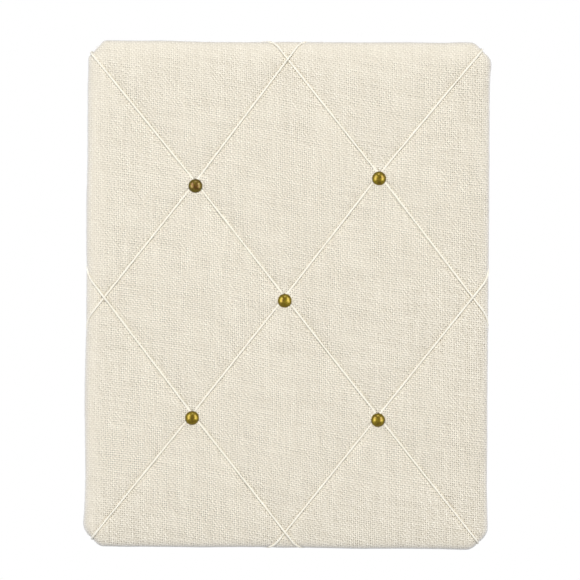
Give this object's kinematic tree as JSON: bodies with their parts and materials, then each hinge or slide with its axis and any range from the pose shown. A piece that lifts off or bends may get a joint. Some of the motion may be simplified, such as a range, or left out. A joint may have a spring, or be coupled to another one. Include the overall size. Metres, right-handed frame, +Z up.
{
  "type": "padded memo board",
  "caption": "Padded linen memo board with clipped corners, cords in a diamond lattice pinned by domed brass nails for tucking in notes and photos, and swinging ring hangers on the back.",
  "frame": {"origin": "Middle of the core board's flat back face, which turns to the wall.", "axes": "+X to the right as seen from the front, +Y out of the back towards the wall, +Z up as the board hangs. The padded front faces -Y."},
  "size_m": [0.2844, 0.0232, 0.3572],
  "materials": {
    "linen": "natural slub weave",
    "cord": "round cotton cord",
    "batting": "white polyester wadding",
    "fibreboard": "raw hardboard brown",
    "antique_brass": "antiqued, semi-gloss",
    "staple_wire": "bright wire",
    "hanger_zinc": "zinc plated"
  },
  "bodies": {
    "board": {"core_board": "fibreboard", "batting": "batting", "fabric_cover": "linen", "cord_long_falling": "cord", "cord_long_rising": "cord", "cord_upper_left": "cord", "cord_upper_right": "cord", "cord_lower_left": "cord", "cord_lower_right": "cord", "nail_upper_left": "antique_brass", "nail_upper_right": "antique_brass", "nail_centre": "antique_brass", "nail_lower_left": "antique_brass", "nail_lower_right": "antique_brass", "cord_long_falling_start_staple": "staple_wire", "cord_long_falling_end_staple": "staple_wire", "cord_long_rising_start_staple": "staple_wire", "cord_long_rising_end_staple": "staple_wire", "cord_upper_right_start_staple": "staple_wire", "cord_upper_right_end_staple": "staple_wire", "cord_lower_right_start_staple": "staple_wire", "cord_lower_right_end_staple": "staple_wire", "cord_upper_left_start_staple": "staple_wire", "cord_upper_left_end_staple": "staple_wire", "cord_lower_left_start_staple": "staple_wire", "cord_lower_left_end_staple": "staple_wire", "hem_staple_left_lower": "staple_wire", "hem_staple_left_middle": "staple_wire", "hem_staple_left_upper": "staple_wire", "hem_staple_right_lower": "staple_wire", "hem_staple_right_middle": "staple_wire", "hem_staple_right_upper": "staple_wire", "hem_staple_top_left": "staple_wire", "hem_staple_top_right": "staple_wire", "hem_staple_bottom_left": "staple_wire", "hem_staple_bottom_right": "staple_wire", "hanger_strap_left": "hanger_zinc", "hanger_strap_right": "hanger_zinc", "hanger_screw_left": "staple_wire", "hanger_screw_right": "staple_wire"},
    "ring_left": {"hanger_ring_left": "hanger_zinc"},
    "ring_right": {"hanger_ring_right": "hanger_zinc"}
  },
  "joints": [
    {"name": "ring_left_swing", "type": "hinge", "parent": "board", "child": "ring_left", "pos_m": [-0.075, 0.0021, 0.125], "axis": [1, 0, 0], "range_deg": [0, 180]},
    {"name": "ring_right_swing", "type": "hinge", "parent": "board", "child": "ring_right", "pos_m": [0.075, 0.0021, 0.125], "axis": [1, 0, 0], "range_deg": [0, 180]}
  ]
}
